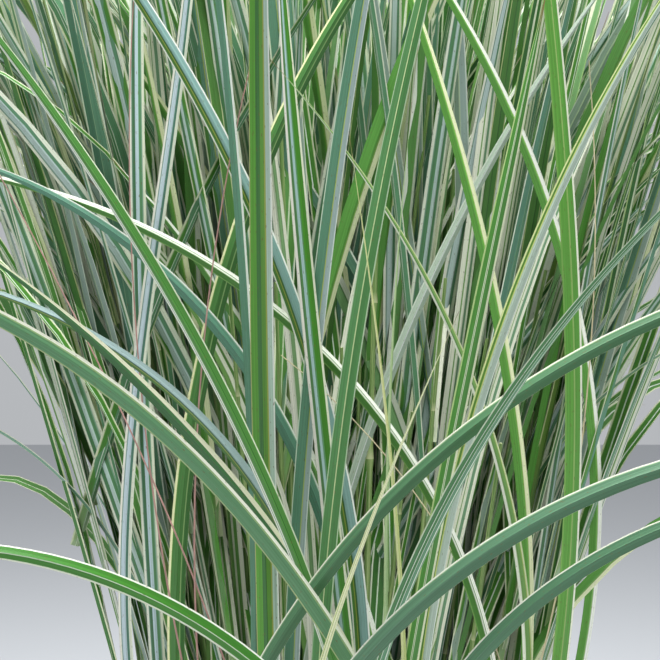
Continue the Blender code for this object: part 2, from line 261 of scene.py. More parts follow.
def joinMeshes(name, things):
    # one piece from several, keeping each one's materials
    bpy.ops.object.select_all(action="DESELECT")
    for thing in things:
        thing.select_set(True)
    bpy.context.view_layer.objects.active = things[0]
    bpy.ops.object.join()
    things[0].name = name
    return things[0]


def alongLeaf(share, values):
    # the quadratic through a value at the foot, halfway and at the tip
    foot, middle, tip = values
    bow = 4 * middle * share * (1 - share)
    return foot * (1 - share) * (1 - 2 * share) + bow + tip * share * (2 * share - 1)


def growLeaf(turnDegrees, foot, lean, forward, length, steps):
    # a leaf grows from its foot: upwards = right sin(lean) + up cos(lean), heading = upwards
    # cos(forward) + out sin(forward), outer face = out cos(forward) - upwards sin(forward), and its
    # middle line is the running sum of the headings
    turn = math.radians(turnDegrees)
    out = np.array((math.cos(turn), math.sin(turn), 0.0))
    right = np.array((-math.sin(turn), math.cos(turn), 0.0))
    up = np.array((0.0, 0.0, 1.0))
    fine = 4
    share = np.linspace(0, 1, (steps - 1) * fine + 1)
    leanAt = np.radians(alongLeaf(share, lean))[:, None]
    forwardAt = np.radians(alongLeaf(share, forward))[:, None]
    upwards = right * np.sin(leanAt) + up * np.cos(leanAt)
    heading = upwards * np.cos(forwardAt) + out * np.sin(forwardAt)
    face = out * np.cos(forwardAt) - upwards * np.sin(forwardAt)
    travel = np.cumsum((heading[1:] + heading[:-1]) / 2, axis=0) * length / (len(share) - 1)
    start = right * foot[0] + out * foot[1] + up * (soilTop + soilGap)
    centre = start + np.concatenate([np.zeros((1, 3)), travel])
    return centre[::fine], heading[::fine], face[::fine]


def bladeRings(centre, heading, face, halfWidth, fold, thick, acrossOuter, acrossInner, ridge=0.0):
    # a blade's section at each step: points run from margin to margin over the outer face and back
    # over the inner one. Height over the chord = -fold * width * |p| for p from -1 to 1 across, plus
    # a midrib ridge that falls off as exp(-(p / 0.16)^2), less the thickness times (1 - |p|) inside
    face = face - heading * np.sum(face * heading, axis=-1, keepdims=True)
    face = face / np.linalg.norm(face, axis=-1, keepdims=True)
    side = np.cross(heading, face)
    p = np.concatenate([acrossOuter, acrossInner])
    inner = np.concatenate([np.zeros(len(acrossOuter)), np.ones(len(acrossInner))])
    lift = -2 * fold[..., None] * halfWidth[..., None] * np.abs(p)
    taper = np.clip(halfWidth / halfWidth.max(), 0.15, 1)[..., None]
    lift = lift + ridge * taper * np.exp(-(p / 0.16) ** 2) * np.where(inner > 0, -0.3, 1.0)
    lift = lift + thick * taper * (1 - np.abs(p)) * (0.5 - inner)
    return (centre[..., None, :] + side[..., None, :] * (halfWidth[..., None] * p)[..., None]
            + face[..., None, :] * lift[..., None])


def uvAround(acrossOuter, acrossInner):
    # the outer face takes 0 to 0.5 of a leaf's column from its left margin, the inner 0.5 to 1
    outerU = (acrossOuter + 1) / 4
    # acrossInner runs back from the right margin, so the inner strip is read from right to left
    reach = np.concatenate([[acrossOuter[-1]], acrossInner, [acrossOuter[0]]])
    innerU = 0.75 + reach / 4
    start = np.concatenate([outerU[:-1], innerU[:-1]])
    end = np.concatenate([outerU[1:], innerU[1:]])
    return start, end


def turnAbout(vector, axis, angle):
    # Rodrigues: v cos + (axis x v) sin, for v square to the axis
    return vector * np.cos(angle)[..., None] + np.cross(axis, vector) * np.sin(angle)[..., None]


upperFace = [(11, "#dfe3c4"), (4, "#86a75f"), (30, "#4a8530"), (10, "#dfe8da"), (30, "#4a8530"),
             (4, "#86a75f"), (11, "#dfe3c4")]

frontLeaves = {
    "upright_keeled_leaf": dict(
        foot=(-0.038, 0.125), lean=(-2, 0, 2), forward=(4, 17, 30), length=0.87,
        width=0.0165, fold=0.22, taper=5, roll=(8, 8),
        bands=[(4, "#b9bd7c"), (30, "#5a9a34"), (20, "#3f7438"), (16, "#5c9035"), (6, "#98a54c"),
               (18, "#a9c0ae"), (6, "#e6ebdf")]),
    "upper_left_diagonal_leaf": dict(
        foot=(0.006, 0.104), lean=(12, -18, -46), forward=(6, 9, 16), length=0.93,
        width=0.012, fold=0.10, taper=5, roll=(0, -12),
        bands=[(8, "#e9ecdd"), (16, "#4a7a33"), (6, "#8d9c3c"), (10, "#3f6c34"), (50, "#7fa39b"),
               (10, "#eef0e8")]),
    "narrow_teal_leaf": dict(
        foot=(-0.060, 0.118), lean=(3, -2, -8), forward=(5, 9, 12), length=0.84,
        width=0.007, fold=0.10, taper=6, roll=(0, 0),
        bands=[(78, "#5d8a70"), (22, "#e6ebe0")]),
    "dark_folded_leaf": dict(
        foot=(-0.095, 0.100), lean=(-9, 13, 50), forward=(4, 5, 8), length=0.90,
        width=0.013, fold=0.25, taper=5, roll=(-10, 10),
        bands=[(14, "#e3e4b0"), (5, "#5a8a3a"), (50, "#47793a"), (6, "#8fb070"), (25, "#3d6c34")]),
    "long_crossing_leaf": dict(
        foot=(0.112, 0.096), lean=(19, -14, -44), forward=(9, 10, 11), length=0.70,
        width=0.008, fold=0.12, taper=2.2, roll=(0, 0),
        bands=[(30, "#e8ebd6"), (45, "#6f9a52"), (8, "#94a956"), (17, "#c9d3a2")]),
    "wide_teal_leaf": dict(
        foot=(-0.030, 0.106), lean=(-1, 6, 14), forward=(7, 11, 11), length=0.90,
        width=0.0115, fold=0.12, taper=6, roll=(-6, 4),
        bands=[(6, "#cfe0c8"), (54, "#5d8c70"), (6, "#a9b85a"), (28, "#a3b6b2"), (6, "#dfe6e0")]),
    "green_midrib_leaf": dict(
        foot=(-0.008, 0.130), lean=(-3, 8, 17), forward=(16, 9, 5), length=0.87,
        width=0.0115, fold=0.14, taper=5, roll=(0, 0),
        bands=[(5, "#b7cfa8"), (40, "#558a50"), (6, "#c3d39a"), (42, "#4f8648"), (7, "#b7cfa8")]),
    "bright_cream_edged_leaf": dict(
        foot=(0.120, 0.060), lean=(14, -9, -22), forward=(14, 9, 2), length=0.82,
        width=0.009, fold=0.15, taper=6, roll=(5, 5),
        bands=[(62, "#66a545"), (6, "#88b052"), (32, "#e9edbe")]),
    "white_banded_leaf": dict(
        foot=(0.130, 0.040), lean=(26, -10, -46), forward=(9, 11, 13), length=0.88,
        width=0.009, fold=0.12, taper=6, roll=(0, 0),
        bands=[(60, "#62a043"), (8, "#84ac5c"), (32, "#f0f2e4")]),
    "right_upright_leaf": dict(
        foot=(0.133, 0.062), lean=(13, -3, -8), forward=(26, 11, 4), length=0.92,
        width=0.012, fold=0.15, taper=6, roll=(-5, -5),
        bands=[(8, "#7fae55"), (38, "#62a03f"), (8, "#93b565"), (34, "#5c9a3c"), (12, "#eef0d8")]),
    "dark_midrib_leaf": dict(
        foot=(0.030, 0.118), lean=(4, 9, 11), forward=(18, 16, 8), length=0.69,
        width=0.0098, fold=0.18, taper=9, roll=(0, 0),
        bands=[(10, "#b8d08a"), (30, "#4f8f38"), (4, "#dde5c6"), (4, "#5a9440"), (4, "#dde5c6"),
               (34, "#4c8a38"), (14, "#e3e8c2")]),
    "teal_edged_leaf": dict(
        foot=(0.062, 0.112), lean=(-4, 13, 36), forward=(17, 12, 7), length=0.77,
        width=0.0088, fold=0.18, taper=6, roll=(-8, -8),
        bands=[(12, "#d9e29e"), (16, "#5b8a34"), (8, "#c3cd7a"), (56, "#b4c6b4"), (8, "#dfe8dc")]),
    "twisted_striped_leaf": dict(
        foot=(0.015, 0.135), lean=(-8, 24, 60), forward=(32, 18, 2), length=0.78,
        width=0.0115, fold=0.10, taper=3, roll=(0, -60),
        bands=[(8, "#d5e2c4"), (24, "#4d8350"), (3, "#e6eddc"), (14, "#4d8350"), (3, "#e6eddc"),
               (30, "#5c9168"), (6, "#e9eedd"), (12, "#7ea883")]),
    "long_arching_leaf": dict(
        foot=(-0.115, 0.085), lean=(7, 42, 101), forward=(36, 18, 6), length=0.87,
        width=0.0102, fold=0.12, taper=6, roll=(15, 15),
        bands=[(8, "#e3e4cf"), (6, "#7d9f70"), (48, "#4d7852"), (38, "#456f49")]),
    "low_arching_leaf": dict(
        foot=(-0.060, 0.130), lean=(5, 38, 110), forward=(26, 30, -20), length=0.72,
        width=0.011, fold=0.12, taper=6, roll=(15, 15),
        bands=[(7, "#e3e6d2"), (5, "#84a57c"), (46, "#578060"), (42, "#4c7455")]),
    "lowest_arching_leaf": dict(
        foot=(0.062, 0.131), lean=(-16, 31, 110), forward=(26, 30, -15), length=0.63,
        width=0.01, fold=0.12, taper=6, roll=(15, 15),
        bands=[(8, "#dcdfcb"), (92, "#4e7857")]),
    "thin_yellow_leaf": dict(
        foot=(-0.045, 0.132), lean=(3, 14, 23), forward=(22, 30, 14), length=0.54,
        width=0.0068, fold=0.20, taper=1.3, roll=(0, 0),
        bands=[(20, "#eceebb"), (10, "#9cb85c"), (34, "#f0f2c8"), (8, "#a9ba68"), (28, "#eceebf")]),
    "yellow_needle_leaf": dict(
        foot=(0.044, 0.128), lean=(6, -4, -9), forward=(17, 14, 10), length=0.60,
        width=0.0045, fold=0.20, taper=1.6, roll=(0, 0),
        bands=[(50, "#e3e6a8"), (50, "#c6cf86")]),
    "pale_needle_leaf": dict(
        foot=(0.045, 0.105), lean=(-2, 0, 6), forward=(20, 12, 9), length=0.62,
        width=0.0042, fold=0.20, taper=1.6, roll=(0, 0),
        bands=[(60, "#bcd39c"), (40, "#9dbb80")]),
    "folded_striped_leaf": dict(
        foot=(0.042, 0.139), lean=(-3, -23, -40), forward=(17, 12, 6), length=0.78,
        width=0.0095, fold=0.22, taper=6, roll=(10, 10),
        bands=[(10, "#eef0e2"), (5, "#8fae86"), (8, "#e6eadb"), (6, "#6f9a62"), (30, "#4f8a3a"),
               (4, "#2f6424"), (29, "#4a8436"), (8, "#d5e2bf")]),
    "white_topped_leaf": dict(
        foot=(0.110, 0.085), lean=(16, -36, -88), forward=(8, 8, 8), length=0.82,
        width=0.0085, fold=0.18, taper=6, roll=(0, 0),
        bands=[(8, "#7fa85a"), (42, "#4c8334"), (6, "#557a3c"), (12, "#c9d0bd"), (6, "#6d8a62"),
               (26, "#e8ebdc")]),
    "dark_teal_leaf": dict(
        foot=(0.012, 0.096), lean=(9, -23, -80), forward=(3, 9, 14), length=0.73,
        width=0.01, fold=0.12, taper=6, roll=(0, 0),
        bands=[(82, "#5a8a72"), (7, "#7aa488"), (11, "#e3e8dc")]),
    "broad_left_leaf": dict(
        foot=(0.125, 0.075), lean=(-26, -35, -98), forward=(44, 18, 6), length=0.83,
        width=0.0118, fold=0.10, taper=6, roll=(12, 12),
        bands=[(7, "#a8b982"), (70, "#5c8c60"), (8, "#8fae72"), (15, "#eef0d8")]),
    "cream_edged_companion_leaf": dict(
        foot=(0.085, 0.110), lean=(-9, -31, -54), forward=(9, 19, 16), length=0.65,
        width=0.01, fold=0.15, taper=5, roll=(0, 0),
        bands=[(70, "#3c6a3c"), (30, "#dcdcbc")]),
    "lilac_grey_leaf": dict(
        foot=(-0.010, 0.122), lean=(16, -27, -86), forward=(6, 14, 22), length=0.67,
        width=0.0085, fold=0.18, taper=5, roll=(0, 0),
        bands=[(22, "#4f7a3c"), (8, "#8fa04a"), (12, "#4b7350"), (58, "#93a9a6")]),
    "vivid_midrib_leaf": dict(
        foot=(0.100, 0.100), lean=(-26, -42, -118), forward=(34, 27, 8), length=0.66,
        width=0.0105, fold=0.15, taper=6, roll=(-10, -10),
        bands=[(10, "#dfe6cc"), (34, "#3f8029"), (5, "#d2e0c2"), (42, "#3a7a22"), (9, "#e9eddc")]),
    "left_white_ribbed_leaf": dict(
        foot=(-0.122, 0.040), lean=(-2, -1, 2), forward=(20, 6, -4), length=0.93,
        width=0.012, fold=0.15, taper=6, roll=(0, 0),
        bands=[(16, "#dfe3cf"), (6, "#6f927c"), (18, "#3f6e48"), (22, "#b9cdd0"), (16, "#58895c"),
               (6, "#7ba287"), (16, "#dbe0c6")]),
    "left_blue_ribbed_leaf": dict(
        foot=(-0.108, 0.060), lean=(-22, 8, -4), forward=(16, 7, 4), length=0.92,
        width=0.0095, fold=0.15, taper=6, roll=(0, 0),
        bands=[(18, "#e3e2d2"), (8, "#7c9a8c"), (34, "#bccdd2"), (18, "#4f7c68"), (22, "#dfe4cf")]),
    "centre_striped_leaf": dict(
        foot=(0.034, 0.108), lean=(-5, -6, -3), forward=(11, 9, 3), length=0.75,
        width=0.0125, fold=0.15, taper=7, roll=(0, 0),
        bands=[(16, "#e6e2d6"), (16, "#4f7f4a"), (16, "#a9c6c2"), (8, "#5c8f60"), (32, "#3f7f1f"),
               (12, "#dfe3c6")]),
    "pale_back_leaf": dict(
        foot=(-0.010, 0.090), lean=(2, -5, -7), forward=(6, 3, 3), length=0.80,
        width=0.01, fold=0.15, taper=6, roll=(0, 0),
        bands=[(34, "#e6e4d6"), (12, "#c9cfb8"), (30, "#6f9362"), (24, "#dcdcc9")]),
    "grey_leaning_leaf": dict(
        foot=(-0.035, 0.090), lean=(0, 19, 38), forward=(3, 5, 2), length=0.79,
        width=0.008, fold=0.15, taper=6, roll=(0, 0),
        bands=[(12, "#b8c4b2"), (38, "#a3b3a0"), (12, "#dfe5df"), (38, "#9fb09c")]),
}

plainBands = [(12, "#dfe3c4"), (32, "#5a8a60"), (8, "#c3d39a"), (36, "#6f9a80"), (12, "#dfe3c4")]
sideShape = dict(fold=0.15, taper=6, roll=(0, 0), bands=plainBands)
sideLeaves = {
    "right_arching_leaf": dict(turn=-22.5, out=0.105, forward=(4, 30, 125),
        length=0.70, width=0.0125),
    "right_rear_leaf": dict(turn=22.5, out=0.105, forward=(3, 20, 115),
        length=0.82, width=0.0115),
    "right_drooping_leaf": dict(turn=22.5, out=0.128, forward=(15, 50, 165),
        length=0.52, width=0.011),
    "back_right_leaf": dict(turn=67.5, out=0.105, forward=(4, 28, 122),
        length=0.72, width=0.0125),
    "back_left_leaf": dict(turn=112.5, out=0.105, forward=(3, 20, 115),
        length=0.80, width=0.012),
    "back_drooping_leaf": dict(turn=112.5, out=0.128, forward=(16, 52, 165),
        length=0.50, width=0.011),
    "left_rear_leaf": dict(turn=157.5, out=0.105, forward=(4, 28, 120),
        length=0.73, width=0.0125),
    "left_arching_leaf": dict(turn=202.5, out=0.112, forward=(6, 33, 125),
        length=0.63, width=0.0115),
    "tallest_back_leaf": dict(turn=67.5, out=0.082, forward=(2, 7, 20),
        length=1.01, width=0.0115),
}


def widthAlong(share, width, taper):
    # half the width: it opens over the first quarter, then falls as 1 - share^taper to a fine point
    opening = 0.55 + 0.45 * np.clip(share / 0.25, 0, 1)
    return np.maximum(width / 2 * opening * (1 - share ** taper), 0.00012)


singleOuter = np.array([-1, -0.78, -0.5, -0.22, 0, 0.22, 0.5, 0.78, 1])
singleInner = np.array([0.78, 0.5, 0.2, 0, -0.2, -0.5, -0.78])
bladeShape = dict(steps=56, thick=0.0007, ridge=0.0003, waves=23, waveTurn=0.05, footFold=0.9)


def buildSingleLeaf(name, turn, foot, lean, forward, length, width, fold, taper, roll, bands):
    centre, heading, face = growLeaf(turn, foot, lean, forward, length, bladeShape["steps"])
    share = np.linspace(0, 1, bladeShape["steps"])
    half = widthAlong(share, width, taper)
    # the blade sways a little about its own line, and folds more sharply near the foot
    wave = np.sin(share * bladeShape["waves"] + width * 900) * bladeShape["waveTurn"]
    wave = wave * np.clip(share * 3, 0, 1)
    face = turnAbout(face, heading, -np.radians(np.interp(share, (0, 1), roll)) + wave)
    folds = fold * (1 + bladeShape["footFold"] * np.exp(-share * 9))
    rings = bladeRings(centre, heading, face, half, folds, bladeShape["thick"], singleOuter, singleInner,
                       bladeShape["ridge"])
    # the foot is cut level just over the soil
    rise = (rings[0, :, 2] - (soilTop + soilGap)) / heading[0, 2]
    rings[0] -= heading[0] * rise[:, None]
    leaf = meshFromRings(name + "_blade", rings[None], uvAround(singleOuter, singleInner), share,
                         np.zeros(1, int), [leafMaterial(name + "_skin", bands, upperFace)], 50)
    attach(leaf, "root")
    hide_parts(name)


for name, leaf in frontLeaves.items():
    buildSingleLeaf(name, frontTurn, **leaf)
for name, leaf in sideLeaves.items():
    buildSingleLeaf(name, leaf["turn"], (0.0, leaf["out"]), (0, 0, 0), leaf["forward"], leaf["length"],
                    leaf["width"], **sideShape)
print("single leaves built", len(frontLeaves) + len(sideLeaves))


leafKinds = {
    "white_ribbed": dict(outer=[(15, "#e3e7d4"), (5, "#6f927c"), (19, "#54855a"), (22, "#b9cdc6"),
                                (17, "#58895c"), (6, "#7ba287"), (16, "#dfe4cb")], inner=upperFace),
    "blue_ribbed": dict(outer=[(16, "#e6e6d6"), (8, "#7c9a88"), (34, "#b9cbc8"), (20, "#5c8a68"),
                               (22, "#e3e7d3")], inner=upperFace),
    "teal": dict(outer=[(8, "#dfe6cf"), (50, "#66937a"), (5, "#a9b85a"), (29, "#9fb3a8"), (8, "#e3e8da")],
                 inner=[(8, "#dfe3c4"), (38, "#558a40"), (8, "#c9d8b6"), (38, "#558a40"), (8, "#dfe3c4")]),
    "cream_edged": dict(outer=[(60, "#5b9740"), (8, "#7ba44a"), (32, "#e6eabc")],
                        inner=[(10, "#8fae72"), (50, "#6f9a62"), (40, "#e3e6c8")]),
    "white_banded": dict(outer=[(56, "#5a8f45"), (8, "#79a455"), (36, "#eaeddf")],
                         inner=[(40, "#e6e9da"), (60, "#668f5a")]),
    "dark_midrib": dict(outer=[(10, "#b8d08a"), (28, "#3c7036"), (14, "#dde5c6"), (34, "#3f7a34"),
                               (14, "#e3e8c2")], inner=upperFace),
    "cream_streaked": dict(outer=[(30, "#e6e7d3"), (8, "#6d9850"), (22, "#dfe2cd"), (20, "#6f9672"),
                                  (20, "#e6e7d3")],
                           inner=[(28, "#e3e4d0"), (22, "#5a8a40"), (22, "#dfe2cd"), (28, "#6f9a52")]),
    "grey_bloom": dict(outer=[(8, "#c3ccc0"), (36, "#8da392"), (10, "#b7c8a8"), (38, "#9cafa8"),
                              (8, "#d5dcd2")], inner=upperFace),
    "plain_green": dict(outer=[(7, "#b9c48a"), (40, "#4e7b3a"), (8, "#3b6434"), (37, "#4f8040"),
                               (8, "#b9c48a")],
                        inner=[(8, "#c3cd9a"), (84, "#517f3c"), (8, "#c3cd9a")]),
    "fine_lined": dict(outer=[(8, "#dfe3cf"), (26, "#598a60"), (3, "#dfe6da"), (12, "#598a60"),
                              (3, "#dfe6da"), (38, "#5f906a"), (10, "#dfe3cf")], inner=upperFace),
    "olive": dict(outer=[(10, "#c9cf9a"), (30, "#6d8d42"), (8, "#4a6d30"), (40, "#739248"),
                         (12, "#d5d8ac")],
                  inner=[(10, "#c9cf9a"), (80, "#6a8b40"), (10, "#d5d8ac")]),
    # painted shade: a darker copy of the teal kind, its greens darkened to stand for leaves lying in the
    # clump's shade
    "shade_darkened_teal": dict(outer=[(9, "#dbe3d0"), (40, "#55806a"), (4, "#7f9f80"), (38, "#5b876c"),
                             (9, "#dfe6d8")],
                      inner=[(10, "#cfd6be"), (36, "#3f6e34"), (8, "#c9d6c0"), (36, "#3f6e34"),
                             (10, "#cfd6be")]),
}

# shoots stand over the crown, each with its leaves in two ranks; leafSpan is where on a cane the
# lowest leaf sits and how far up the rest reach. Leaves that cross lie over to one side; shares are
# the kinds in the order above
tuftPlan = dict(shoots=165, leavesEach=7, leafSpan=(0.10, 0.72), crownRadius=0.130, leanDegrees=13,
                goldenTurn=2.39996, shootLength=(0.40, 0.70), leafLength=(0.50, 0.86),
                leafWidth=(0.009, 0.016), thick=0.0006, steps=12, uprightTip=(2, 15), arching=0.6,
                archDegrees=(20, 100), crossing=0.17, crossFoot=(8, 26), crossTip=(24, 58),
                topHeight=1.235, topShare=(0.78, 1.0), thinBefore=-0.035, thinShare=0.62,
                reachedPast=(0.012, 0.008), canes=100, caneRadius=(0.0024, 0.0013),
                shares=(0.15, 0.09, 0.13, 0.08, 0.10, 0.05, 0.14, 0.07, 0.03, 0.09, 0.03, 0.04))
sectors = 8
firstTuftDegrees = -90.0
tuftOuter = np.array([-1.0, 0.0, 1.0])
tuftInner = np.array([0.0])
lensPlace = np.array((0.0, -1.06, 0.72))
frontDepth = -0.118     # no tuft comes nearer the front than this, so the single leaves stay in front


def between(low, high, size):
    return low + (high - low) * random.random(size)


def curvedLines(start, lean, leanEnd, turn, turnDrift, length, steps, power):
    # the lean from upright grows as share^power from its first to its last value while the compass
    # turn drifts; the line is the running sum of the directions
    share = np.linspace(0, 1, steps)
    theta = lean[:, None] + (leanEnd - lean)[:, None] * share ** power[:, None]
    phi = turn[:, None] + turnDrift[:, None] * share
    heading = np.stack([np.sin(theta) * np.cos(phi), np.sin(theta) * np.sin(phi), np.cos(theta)], -1)
    face = np.stack([np.cos(theta) * np.cos(phi), np.cos(theta) * np.sin(phi), -np.sin(theta)], -1)
    middle = (heading[:, 1:] + heading[:, :-1]) / 2
    travel = np.cumsum(middle, axis=1) * (length / (steps - 1))[:, None, None]
    centre = start[:, None, :] + np.concatenate([np.zeros_like(start)[:, None, :], travel], axis=1)
    return share, centre, heading, face


def clearOfFront(points):
    # true where no point comes nearer than frontDepth inside the cone that the front view takes in
    away = points - lensPlace
    inCone = (np.abs(away[..., 0]) < 0.21 * away[..., 1]) & (np.abs(away[..., 2]) < 0.27 * away[..., 1])
    return ~(inCone & (points[..., 1] < frontDepth)).any(axis=1)


def bendBack(centre, heading, face):
    # a line that would come too near the front leans the other way: y turns over about its own foot
    near = ~clearOfFront(centre)
    flip = np.where(near, -1.0, 1.0)[:, None]
    centre, heading, face = centre.copy(), heading.copy(), face.copy()
    centre[..., 1] = centre[:, :1, 1] + (centre[..., 1] - centre[:, :1, 1]) * flip
    heading[..., 1] *= flip
    face[..., 1] *= flip
    return centre, heading, face


def insideBox(points):
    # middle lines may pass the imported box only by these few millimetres
    below, above = tuftPlan["reachedPast"]
    low, high = np.array(cadBox[0]) - below, np.array(cadBox[1]) + above
    return ((points > low) & (points < high)).all(axis=(1, 2))


def growCanes():
    # feet spread over the crown by the golden angle, each cane leaning outwards with its distance
    count = tuftPlan["shoots"]
    order = np.arange(count) + 0.5
    radius = tuftPlan["crownRadius"] * np.sqrt(order / count)
    turn = order * tuftPlan["goldenTurn"] + random.normal(0, 0.12, count)
    feet = np.stack([radius * np.cos(turn), radius * np.sin(turn), np.full(count, soilTop - 0.004)], -1)
    edge = radius / tuftPlan["crownRadius"]
    lean = np.radians(tuftPlan["leanDegrees"] * edge ** 1.3 + np.abs(random.normal(0, 2, count)))
    leanTurn = turn + random.normal(0, 0.35, count)
    length = between(*tuftPlan["shootLength"], count) * (1.05 - 0.22 * edge)
    share, centre, heading, face = curvedLines(feet, lean, lean + np.radians(between(0, 5, count)), leanTurn,
                                               np.zeros(count), length, 12, np.ones(count))
    centre, heading, face = bendBack(centre, heading, face)
    return dict(turn=turn, edge=edge, lean=lean, leanTurn=leanTurn, share=share, centre=centre,
                heading=heading)


def growTuftLeaves(canes):
    plan = tuftPlan
    shoot = np.repeat(np.arange(plan["shoots"]), plan["leavesEach"])
    rank = np.tile(np.arange(plan["leavesEach"]), plan["shoots"])
    total = len(shoot)
    # the foot of each leaf lies on its cane, mixed between the two nearest points of the cane's line
    lowest, span = plan["leafSpan"]
    height = lowest + span * np.clip((rank + between(0.0, 0.8, total)) / plan["leavesEach"], 0.0, 0.97)
    spot = height * (len(canes["share"]) - 1)
    below = np.floor(spot).astype(int)
    mix = (spot - below)[:, None]
    start = canes["centre"][shoot, below] * (1 - mix) + canes["centre"][shoot, below + 1] * mix
    side = canes["turn"][shoot] + np.where(rank % 2 == 0, 0.0, math.pi) + random.normal(0, 0.5, total)
    edge = canes["edge"][shoot]
    outward = np.cos(side - canes["turn"][shoot]) * edge
    turn = np.arctan2(np.sin(side) * 0.5 + np.sin(canes["leanTurn"][shoot]) * edge,
                      np.cos(side) * 0.5 + np.cos(canes["leanTurn"][shoot]) * edge)
    lean = canes["lean"][shoot] * 0.8 + np.radians(between(0, 6, total))
    leanEnd = lean + np.radians(between(*plan["uprightTip"], total))
    # some outer leaves of the sides and back arch far over
    arches = (random.random(total) < plan["arching"]) & (outward > 0.2)
    leanEnd = leanEnd + np.where(arches, np.radians(between(*plan["archDegrees"], total)), 0.0)
    crosses = random.random(total) < plan["crossing"]
    turn = np.where(crosses, np.where(random.random(total) < 0.5, 0.0, math.pi)
                    + random.normal(0, 0.25, total), turn)
    lean = np.where(crosses, np.radians(between(*plan["crossFoot"], total)), lean)
    leanEnd = np.where(crosses, np.radians(between(*plan["crossTip"], total)), leanEnd)
    length = between(*plan["leafLength"], total)
    room = (plan["topHeight"] - start[:, 2]) / np.cos((lean + leanEnd) / 2)
    length = np.minimum(length, np.where(arches, length, room * between(*plan["topShare"], total)))
    share, centre, heading, face = curvedLines(start, lean, leanEnd, turn, random.normal(0, 0.2, total),
                                               length, plan["steps"], between(1.0, 2.2, total))
    roll = random.normal(0, 0.45, total)[:, None] + random.normal(0, 0.5, total)[:, None] * share
    roll = roll - np.where(crosses, 1.2 * np.sign(np.cos(turn)), 0.0)[:, None]
    face = turnAbout(face, heading, roll)
    centre, heading, face = bendBack(centre, heading, face)
    # the front of the crown is thin, so that one looks past it into the shade
    thinned = (start[:, 1] < plan["thinBefore"]) & (random.random(total) < plan["thinShare"])
    keep = insideBox(centre) & clearOfFront(centre) & ~thinned
    width = between(*plan["leafWidth"], total)
    kind = random.choice(len(leafKinds), total, p=np.array(plan["shares"]) / sum(plan["shares"]))
    return dict(shoot=shoot, share=share, centre=centre, heading=heading, face=face, keep=keep, width=width,
                kind=kind)


def tubeRings(centre, heading, radius, around):
    # a round tube: the middle line plus radius times (sideways cos a + other sin a)
    angle = np.arange(around) * 2 * math.pi / around
    sideways = np.cross(heading, np.array((0.0, 1.0, 0.02)))
    sideways /= np.linalg.norm(sideways, axis=-1, keepdims=True)
    other = np.cross(heading, sideways)
    ring = sideways[..., None, :] * np.cos(angle)[:, None] + other[..., None, :] * np.sin(angle)[:, None]
    return centre[..., None, :] + ring * radius[..., None, None]


def tubeUv(around):
    return np.arange(around) / around, (np.arange(around) + 1) / around


# grass cane: a smooth green stalk, paler and waxy over each joint, in a straw-coloured sheath low down
caneFinish = dict(green="#5f8440", pale="#a9bb7c", sheath="#b3ab78", joint="#d3d3a6", joints=5,
                  roughness=0.5, ior=1.45, linesAcross=9.0, linesAlong=7.0, sheathCover=0.8,
                  sheathEnd=0.25, jointCover=0.85, jointEnd=0.07)


def caneMaterial(name):
    finish = caneFinish
    material, tree, shader = newMaterial(name)
    uv = addNode(tree, "ShaderNodeUVMap", dict(uv_map="OFBake"))
    place = addNode(tree, "ShaderNodeSeparateXYZ", Vector=uv.outputs[0])
    lines = stretchedNoise(tree, place, finish["linesAcross"], finish["linesAlong"], Detail=3.0)
    tones = addNode(tree, "ShaderNodeValToRGB", Fac=lines)
    setRamp(tones, [(0.35, linear(finish["green"])), (0.7, linear(finish["pale"]))])
    low = addNode(tree, "ShaderNodeMapRange", Value=place.outputs[1], FromMin=0.0,
                  FromMax=finish["sheathEnd"], ToMin=finish["sheathCover"], ToMax=0.0)
    sheathed = mixColors(tree, low.outputs[0], tones.outputs[0], finish["sheath"])
    # a joint wherever along * joints passes a whole number
    steps = times(tree, place.outputs[1], float(finish["joints"]))
    fraction = addNode(tree, "ShaderNodeMath", dict(operation="FRACT"), in0=steps)
    ring = addNode(tree, "ShaderNodeMapRange", Value=fraction.outputs[0], FromMin=0.0,
                   FromMax=finish["jointEnd"], ToMin=finish["jointCover"], ToMax=0.0)
    color = mixColors(tree, ring.outputs[0], sheathed, finish["joint"])
    finishShader(tree, shader, color, finish["roughness"], finish["ior"])
    return material


